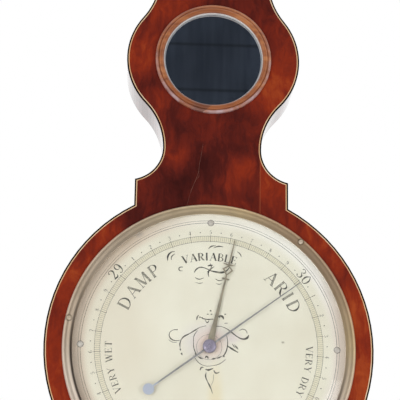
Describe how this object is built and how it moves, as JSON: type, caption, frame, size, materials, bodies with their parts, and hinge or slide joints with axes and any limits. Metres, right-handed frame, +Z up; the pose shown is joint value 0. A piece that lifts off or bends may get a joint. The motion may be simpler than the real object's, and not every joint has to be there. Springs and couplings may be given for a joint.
{
  "type": "wheel barometer",
  "caption": "Wall-hung wheel barometer in an inlaid banjo case, with a silvered dial under domed glass, a mirror, a thermometer, a swan-neck pediment and a siphon movement.",
  "frame": {"origin": "centre of the hanging hole, on the wall plane", "axes": "+Z up along the case, +Y into the wall, so the dial faces -Y, and +X to the viewer's right"},
  "size_m": [0.2496, 0.0492, 1.0205],
  "materials": {
    "mahogany_case": "french polished, with fine ribbon grain",
    "mahogany_veneer": "french polished flame figure",
    "mahogany_moulding": "french polished",
    "boxwood": "polished pale line",
    "ebony": "polished black strip",
    "turned_wood": "turned and polished",
    "pine": "plain planed wood",
    "silvered_brass": "silvered, engraved and lacquered",
    "lacquered_brass": "turned and lacquered",
    "worn_bezel_brass": "turned, dulled with age",
    "aged_brass": "dull with age",
    "blued_steel": "polished and blued",
    "plain_steel": "bright turned steel",
    "grey_iron": "turned",
    "mercury": "liquid metal",
    "bone": "turned and polished",
    "silk": "twisted thread",
    "clear_glass": "clear blown glass",
    "level_glass": "glass with tinted spirit",
    "mirror_plate": "old silvered plate with a ground edge",
    "silvered_slip": "silvered fillet",
    "red_spirit": "dyed spirit"
  },
  "bodies": {
    "case": {"case_carcass": "mahogany_case", "front_veneer": "mahogany_veneer", "cornice": "mahogany_moulding", "pediment_board": "mahogany_moulding", "swan_neck_mouldings": "mahogany_moulding", "pediment_rosettes": "mahogany_moulding", "finial_plinth": "mahogany_moulding", "boxwood_stringing": "boxwood", "ebony_edging": "ebony", "mirror_ring": "turned_wood", "tube_cradles": "pine", "dial_plate": "silvered_brass", "thermometer_scale": "silvered_brass", "dial_bush": "silvered_brass", "dial_screws": "silvered_brass", "glass_ring": "silvered_brass", "finial": "lacquered_brass", "thermometer_frame": "lacquered_brass", "thermometer_clips": "lacquered_brass", "trim_screws": "lacquered_brass", "rod_bush": "lacquered_brass", "movement_bar": "lacquered_brass", "back_cock": "lacquered_brass", "tube_straps": "lacquered_brass", "level_plate": "lacquered_brass", "hinge_case_leaves": "lacquered_brass", "hanging_plate": "lacquered_brass", "dial_bezel": "worn_bezel_brass", "bezel_screws": "worn_bezel_brass", "inner_screws": "plain_steel", "hinge_pins": "plain_steel", "back_screws": "plain_steel", "mercury_column": "mercury", "thermometer_tube": "clear_glass", "thermometer_glass": "clear_glass", "dial_glass": "clear_glass", "siphon_tube": "clear_glass", "guide_tube": "clear_glass", "level_vial": "level_glass", "mirror_glass": "mirror_plate", "mirror_slip": "silvered_slip", "thermometer_spirit": "red_spirit"},
    "indicator": {"indicating_hand": "blued_steel", "hand_boss": "blued_steel", "hand_arbor": "plain_steel", "float_pulley": "lacquered_brass", "thread_windings": "silk"},
    "set_hand": {"set_hand": "aged_brass", "set_wheel": "lacquered_brass"},
    "set_knob": {"set_rod": "plain_steel", "set_knob": "bone"},
    "float": {"float": "grey_iron", "float_thread": "silk", "mercury_short_limb": "mercury"},
    "counterweight": {"counterweight": "grey_iron", "counterweight_thread": "silk"},
    "back_door": {"back_door": "pine", "hinge_door_leaves": "lacquered_brass", "hinge_door_screws": "plain_steel"},
    "door_button": {"door_button": "lacquered_brass"}
  },
  "joints": [
    {"name": "indicator_turn", "type": "hinge", "parent": "case", "child": "indicator", "pos_m": [0, -0.0372, -0.739], "axis": [0, 1, 0], "range_deg": [-209.6, 102.4]},
    {"name": "float_slide", "type": "slide", "parent": "case", "child": "float", "axis": [0, 0, 1], "range_m": [-0.0126, 0.0257], "deforming": ["float_thread", "mercury_short_limb"]},
    {"name": "counterweight_slide", "type": "slide", "parent": "case", "child": "counterweight", "axis": [0, 0, 1], "range_m": [-0.0257, 0.0126], "deforming": ["counterweight_thread"]},
    {"name": "set_knob_turn", "type": "hinge", "parent": "case", "child": "set_knob", "pos_m": [0, -0.024, -0.928], "axis": [0, 0, 1], "continuous": true},
    {"name": "set_hand_turn", "type": "hinge", "parent": "case", "child": "set_hand", "pos_m": [0, -0.0355, -0.739], "axis": [0, 1, 0], "continuous": true},
    {"name": "back_door_swing", "type": "hinge", "parent": "case", "child": "back_door", "pos_m": [-0.0274, -0.00155, -0.506], "axis": [0, 0, 1], "range_deg": [0, 95]},
    {"name": "door_button_turn", "type": "hinge", "parent": "case", "child": "door_button", "pos_m": [0.0323, -0.0014, -0.506], "axis": [0, 1, 0], "range_deg": [0, 90]}
  ],
  "couplings": [
    {"joint": "float_slide", "follows": "indicator_turn", "m_per_rad": -0.007},
    {"joint": "counterweight_slide", "follows": "indicator_turn", "m_per_rad": 0.007},
    {"joint": "set_hand_turn", "follows": "set_knob_turn", "ratio": -0.25}
  ]
}
